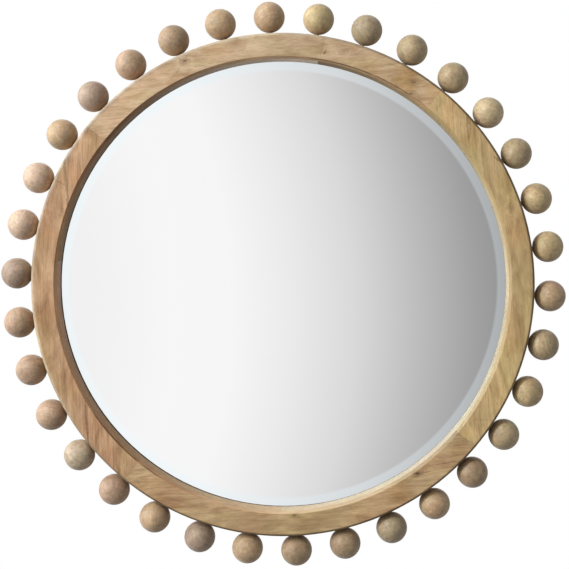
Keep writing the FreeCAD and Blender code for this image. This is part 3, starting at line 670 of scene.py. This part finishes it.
def ball_material(number, tone, centre):
    draw = random.Random(number * 7 + 3)
    material, tree, shader = new_material(f"ball_wood_{number:02d}")
    away = tree.vector("SUBTRACT", tree.place(), centre)
    turned = tree.add("ShaderNodeVectorRotate", rotation_type="EULER_XYZ")
    tree.feed(turned.inputs["Vector"], away)
    tree.feed(turned.inputs["Rotation"], [draw.uniform(0, math.tau) for _ in range(3)])
    shift = (number * BALL_STEP, draw.uniform(-0.06, 0.0), draw.uniform(-0.01, 0.03))
    local = tree.vector("ADD", turned.outputs[0], shift)

    middle = [BALL_LEVEL * level for level in colour(*BALL_TONES[tone])[:3]]
    pale = [min(BALL_PALE * level, 1.0) for level in middle] + [1.0]
    dark = [share * level for level, share in zip(middle, BALL_DARK)] + [1.0]
    wood = tree.use(WOOD, place=local, pale=pale, dark=dark, rings=draw.uniform(150, 260),
                    figure=BALL_FIGURE, mottle=BALL_MOTTLE, patch=BALL_PATCH, lift=0.0, marks=0.0)

    blotch = tree.noise(tree.scaled(local, BLOTCH_SCALE), detail=5.0, roughness=0.68, distortion=0.5)
    mottled = tree.span(blotch, 0.3, 0.7, *BLOTCH_LEVELS)
    # Painted shade on the side of the ball that faces the ring
    towards_ring = Vector((-centre.x, 0.0, -centre.z)).normalized()
    shade_way = (towards_ring + Vector((0.0, CONTACT_SHADE_LEAN, 0.0))).normalized()
    facing = tree.vector("DOT_PRODUCT", tree.vector("NORMALIZE", away), shade_way)
    contact_shade = tree.span(facing, *CONTACT_SHADE_EDGE, 1.0, CONTACT_SHADE_LEVEL, smooth=True)
    level = tree.math("MULTIPLY", mottled, contact_shade)
    body = tree.mix(1.0, wood["Colour"], tree.even(level), "MULTIPLY")

    finish_wood(tree, shader, wood, body, BALL_RELIEF)
    shader["Specular IOR Level"].default_value = BALL_SHINE
    shader["Sheen Weight"].default_value = BALL_SHEEN
    shader["Sheen Roughness"].default_value = BALL_SHEEN
    return material


def dress_balls():
    for number, tone in enumerate(BALL_ORDER, start=1):
        name = f"ball_{number:02d}"
        low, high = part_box(name)
        wear(name, ball_material(number, tone, (low + high) / 2))


def dowel_material():
    material, tree, shader = new_material("dowel_wood")
    wood = tree.use(WOOD, place=tree.place(), pale=colour(170, 140, 104), dark=colour(120, 92, 62),
                    rings=300.0, figure=0.7, mottle=0.6, patch=1.0, lift=0.0, marks=0.0)
    finish_wood(tree, shader, wood, wood["Colour"], BALL_RELIEF)
    return material


# Glass. A start is where a look begins and where it is full: the bevel's by radius, the paint's by
# depth

BEVEL_START = (BEVEL_INNER + 1.0 * MM, BEVEL_INNER + 6.0 * MM)
BEVEL_LEAN = 0.022
FLAT_SILVER = (0.97, 0.97, 0.97, 1.0)
BEVEL_SILVER = (0.93, 0.975, 1.0, 1.0)
PAINT_START = (GLASS_BACK - 0.3 * MM, GLASS_BACK - 0.1 * MM)
PAINT_SPECKLES = 900.0
POLISH = 0.012
PAINT_ROUGHNESS = 0.6


def mirror_material():
    """Silvered glass: a hard mirror, faintly blue on the bevel, with grey paint on its back.

    The silver lies behind the glass, so the bevel bends what it mirrors a little inwards, as a
    thin prism does, where its bare front surface would throw it far outwards.
    """
    material, tree, shader = new_material("silvered_glass")
    place = tree.place()
    x, y, z = tree.split(place)
    radius = tree.vector("LENGTH", tree.join(x, 0.0, z))
    bevel = tree.span(radius, *BEVEL_START, smooth=True)
    back = tree.span(y, *PAINT_START)
    lean = tree.math("DIVIDE", tree.math("MULTIPLY", bevel, -BEVEL_LEAN), radius)
    inwards = tree.join(tree.math("MULTIPLY", x, lean), -1.0, tree.math("MULTIPLY", z, lean))
    true_normal = tree.add("ShaderNodeNewGeometry").outputs["Normal"]
    blend = tree.add("ShaderNodeMix", data_type="VECTOR")
    for number, source in ((0, back), (4, inwards), (5, true_normal)):
        tree.feed(blend.inputs[number], source)
    silver = tree.mix(bevel, FLAT_SILVER, BEVEL_SILVER)
    speckle = tree.noise(tree.scaled(place, PAINT_SPECKLES))
    paint = tree.mix(speckle, colour(96, 98, 100), colour(116, 118, 120))
    tree.feed(shader["Normal"], tree.vector("NORMALIZE", blend.outputs[1]))
    tree.feed(shader["Base Color"], tree.mix(back, silver, paint))
    tree.feed(shader["Metallic"], tree.math("SUBTRACT", 1.0, back))
    tree.feed(shader["Roughness"], tree.span(back, 0.0, 1.0, POLISH, PAINT_ROUGHNESS))
    return material


# Felt, foam, board, metal and rubber: pale and dark colour, speckles a metre, roughness, relief in
# mm, and whether it is metal

SPECKLED = {
    "felt_tape": (colour(62, 58, 54), colour(28, 26, 24), 1400.0, 0.95, 0.25, False),
    "foam_sheet": (colour(236, 236, 232), colour(206, 206, 202), 700.0, 0.9, 0.3, False),
    "fibreboard": (colour(176, 142, 104), colour(128, 96, 64), 520.0, 0.8, 0.2, False),
    "plated_steel": (colour(206, 204, 198), colour(150, 148, 142), 260.0, 0.34, 0.02, True),
    "ring_wire": (colour(212, 208, 198), colour(160, 156, 146), 340.0, 0.26, 0.015, True),
    "screw_steel": (colour(214, 200, 160), colour(160, 146, 108), 420.0, 0.3, 0.015, True),
    "bumper_rubber": (colour(58, 57, 56), colour(34, 33, 33), 800.0, 0.72, 0.06, False),
}
COARSENESS = 14.0
ROUGHNESS_SWING = 0.09

# Each piece takes the look of the first name that its own name starts with
BACK_LOOKS = (
    ("glass_cushion", "felt_tape"), ("packing_foam", "foam_sheet"), ("backing_board", "fibreboard"),
    ("turn_button_screws", "screw_steel"), ("hanger_screws", "screw_steel"),
    ("turn_button", "plated_steel"), ("hanger_strap", "plated_steel"), ("d_ring", "ring_wire"),
    ("wall_bumpers", "bumper_rubber"),
)


def speckled(name, pale, dark, speckles, roughness, relief, metal):
    """A material whose colour, roughness and height follow one fine noise and one coarse one."""
    material, tree, shader = new_material(name)
    place = tree.place()
    fine = tree.noise(tree.scaled(place, speckles), detail=4.0, roughness=0.65)
    broad = tree.noise(tree.scaled(place, speckles / COARSENESS))
    blend = tree.math("MULTIPLY_ADD", fine, 1.3, -0.45)
    blend = tree.math("MULTIPLY_ADD", broad, 0.6, blend, clamp=True)
    rough = tree.span(fine, 0.25, 0.75, roughness - ROUGHNESS_SWING, roughness + ROUGHNESS_SWING)
    tree.feed(shader["Base Color"], tree.mix(blend, dark, pale))
    tree.feed(shader["Roughness"], rough)
    shader["Metallic"].default_value = float(metal)
    bump(tree, shader, fine, relief * MM)
    return material


def dress_back():
    made = {name: speckled(name, *look) for name, look in SPECKLED.items()}
    for name in nodes:
        looks = [look for start, look in BACK_LOOKS if name.startswith(start)]
        if looks:
            wear(name, made[looks[0]])


# Studio: camera, lamps, world and floor. Angles are in degrees

CAMERA_DISTANCE = 2.0
CAMERA_RIGHT = 0.10
CAMERA_UP = 0.13
CAMERA_AZIMUTH = 0.7
CAMERA_ELEVATION = 1.0
VIEW_CENTRE = (0.0024, 0.0, -0.0001)
LENS = 79.23
SENSOR = 36.0

# Lamps: distance, size, power and direction. The key's is an angle round the mirror's axis, and
# one away from it
LAMP_DISTANCE = 3.0
KEY_SIZE = (2.0, 0.5)
KEY_WATTS = 80.0
KEY_ANGLE = 150.0
KEY_OFF_AXIS = 57.0
FILL_SIZE = (1.5, 1.5)
FILL_WATTS = 50.0
FILL_TOWARDS = (0.1, 1.0, 0.25)


def make_camera():
    """The camera looks nearly square at the mirror from a little right of it and above it."""
    data = bpy.data.cameras.new("camera")
    data.lens = LENS
    data.sensor_width = SENSOR
    camera = bpy.data.objects.new("camera", data)
    bpy.context.scene.collection.objects.link(camera)
    bpy.context.scene.camera = camera
    camera.location = (CAMERA_RIGHT, FRONT_Y - CAMERA_DISTANCE, CAMERA_UP)
    azimuth = math.radians(CAMERA_AZIMUTH)
    elevation = math.radians(CAMERA_ELEVATION)
    back = Vector((math.sin(azimuth) * math.cos(elevation), -math.cos(azimuth) * math.cos(elevation),
                   math.sin(elevation)))
    turn = (-back).to_track_quat("-Z", "Y")
    camera.rotation_mode = "QUATERNION"
    camera.rotation_quaternion = turn
    centre = turn.inverted() @ (Vector(VIEW_CENTRE) - camera.location)
    data.shift_x = centre.x / -centre.z * LENS / SENSOR
    data.shift_y = centre.y / -centre.z * LENS / SENSOR


def make_lamp(name, towards, turn, size, watts):
    """A soft lamp in a direction from the mirror's middle."""
    data = bpy.data.lights.new(name, "AREA")
    data.shape = "RECTANGLE"
    data.size, data.size_y = size
    data.energy = watts
    lamp = bpy.data.objects.new(name, data)
    bpy.context.scene.collection.objects.link(lamp)
    lamp.location = towards * LAMP_DISTANCE
    lamp.rotation_mode = "QUATERNION"
    lamp.rotation_quaternion = turn
    return lamp


def make_key():
    """The main lamp, up on the left and well off the mirror's axis. Its long side follows the ring."""
    off_axis = math.radians(KEY_OFF_AXIS)
    towards = radial(KEY_ANGLE) * math.sin(off_axis) + Vector((0.0, -math.cos(off_axis), 0.0))
    across = tangent(KEY_ANGLE)
    turn = Matrix((across, towards.cross(across), towards)).transposed().to_quaternion()
    make_lamp("key", towards, turn, KEY_SIZE, KEY_WATTS)


def make_fill():
    """A lamp behind, for the back alone."""
    towards = Vector(FILL_TOWARDS).normalized()
    fill = make_lamp("fill", towards, towards.to_track_quat("Z", "Y"), FILL_SIZE, FILL_WATTS)
    fill.visible_glossy = False


# The studio's wall from left to right: place and level. Away from its middle height its shades
# stand further to the left, by so much above and below, and at most by the last

STUDIO_LEVELS = (
    (0.0, 0.93), (0.296, 0.90), (0.364, 0.955), (0.412, 0.945), (0.46, 0.845), (0.508, 0.715),
    (0.556, 0.53), (0.604, 0.365), (0.624, 0.318), (0.70, 0.32), (0.83, 0.42), (1.0, 0.62))
STUDIO_EDGES = (-0.5, 0.5)
BEND_MIDDLE = -0.09
BEND_ABOVE = 1.1
BEND_BELOW = 1.3
BEND_MOST = 0.08

# Levels of what the wood is lit by: before and behind the mirror, and low and high
DEPTH_LEVELS = (0.34, 0.25)
HEIGHT_LEVELS = (0.6, 1.1)

# Broad lights at both sides: direction, where the light starts, and its level
LEFT_LIGHT = ((-0.90, -0.15, 0.41), 0.5, 2.5)
RIGHT_LIGHT = ((0.95, -0.25, -0.19), 0.4, 0.52)
LIGHT_CORE = 0.95

# The part of the studio that mirrors show as it is, to the sides and in height, and the least
# level of the rest, low and high
SHOWN_ACROSS = ((-0.62, -0.42), (0.45, 0.65))
SHOWN_UP = ((-0.52, -0.32), (0.22, 0.42))
ROOM_LEVELS = (0.62, 0.74)


def studio_wall(tree, x, z):
    """A wall that is white on the left and grey on the right."""
    height = tree.math("SUBTRACT", z, BEND_MIDDLE)
    bends = []
    for side, strength in (("MAXIMUM", BEND_ABOVE), ("MINIMUM", BEND_BELOW)):
        part = tree.math(side, height, 0.0)
        bends.append(tree.math("MULTIPLY", tree.math("MULTIPLY", part, part), strength))
    bend = tree.math("MINIMUM", tree.math("ADD", *bends), BEND_MOST)
    across = tree.span(tree.math("ADD", x, bend), *STUDIO_EDGES)
    return tree.ramp(across, [(place, grey(level)) for place, level in STUDIO_LEVELS])


def side_light(tree, way, towards, start, level):
    """The level of a broad light round one direction."""
    facing = tree.vector("DOT_PRODUCT", way, towards)
    return tree.span(facing, start, LIGHT_CORE, 0.0, level, smooth=True)


def make_world():
    """White to the camera. To the object it is a studio, bright on the left and dim on the right."""
    world = bpy.data.worlds.new("studio")
    bpy.context.scene.world = world
    world.use_nodes = True
    tree = Tree(world.node_tree)
    background = next(node for node in world.node_tree.nodes if node.type == "BACKGROUND")
    way = tree.add("ShaderNodeTexCoord").outputs["Generated"]
    x, y, z = tree.split(way)
    wall = studio_wall(tree, x, z)

    dim = tree.math("MULTIPLY", tree.span(y, -0.8, 0.2, *DEPTH_LEVELS, smooth=True),
                    tree.span(z, -0.5, 0.3, *HEIGHT_LEVELS, smooth=True))
    sides = tree.math("ADD", side_light(tree, way, *LEFT_LIGHT), side_light(tree, way, *RIGHT_LIGHT))
    lit = tree.mix(1.0, wall, tree.even(dim), "MULTIPLY")
    lit = tree.mix(1.0, lit, tree.even(sides), "ADD")

    shown = tree.math("MULTIPLY", tree.between(x, *SHOWN_ACROSS, smooth=True),
                      tree.between(z, *SHOWN_UP, smooth=True))
    room = tree.span(z, -0.9, 0.9, *ROOM_LEVELS)
    beyond = tree.mix(1.0, lit, tree.even(room), "LIGHTEN")
    mirrored = tree.mix(shown, beyond, wall)

    path = tree.add("ShaderNodeLightPath").outputs
    by_mirror = tree.math("MAXIMUM", path["Is Glossy Ray"], path["Is Transmission Ray"])
    around = tree.mix(by_mirror, lit, mirrored)
    tree.feed(background.inputs["Color"], tree.mix(path["Is Camera Ray"], around, grey(1.0)))
    background.inputs["Strength"].default_value = 1.0


FLOOR_SIZE = 7.0
FLOOR_HEIGHT = -1.5
FLOOR_LEVEL = 0.82
FLOOR_ROUGHNESS = 0.9


def make_floor():
    """A plain pale floor, well under the mirror, which hangs."""
    bpy.ops.mesh.primitive_plane_add(size=FLOOR_SIZE, location=(0.0, 0.0, FLOOR_HEIGHT))
    floor = bpy.context.object
    floor.name = "floor"
    material, _, shader = new_material("floor_paint")
    shader["Base Color"].default_value = grey(FLOOR_LEVEL)
    shader["Roughness"].default_value = FLOOR_ROUGHNESS
    floor.data.materials.append(material)
    floor.visible_glossy = False
    floor.visible_diffuse = False


dress_layer("front", FRONT_BOARDS, FRONT_JOINTS, first_seed=1)
dress_layer("rear", REAR_BOARDS, REAR_JOINTS, first_seed=11)
dress_balls()
wear("ball_dowels", dowel_material())
wear("mirror_glass", mirror_material())
dress_back()
make_camera()
make_key()
make_fill()
make_world()
make_floor()
bpy.context.scene.view_settings.view_transform = "Standard"
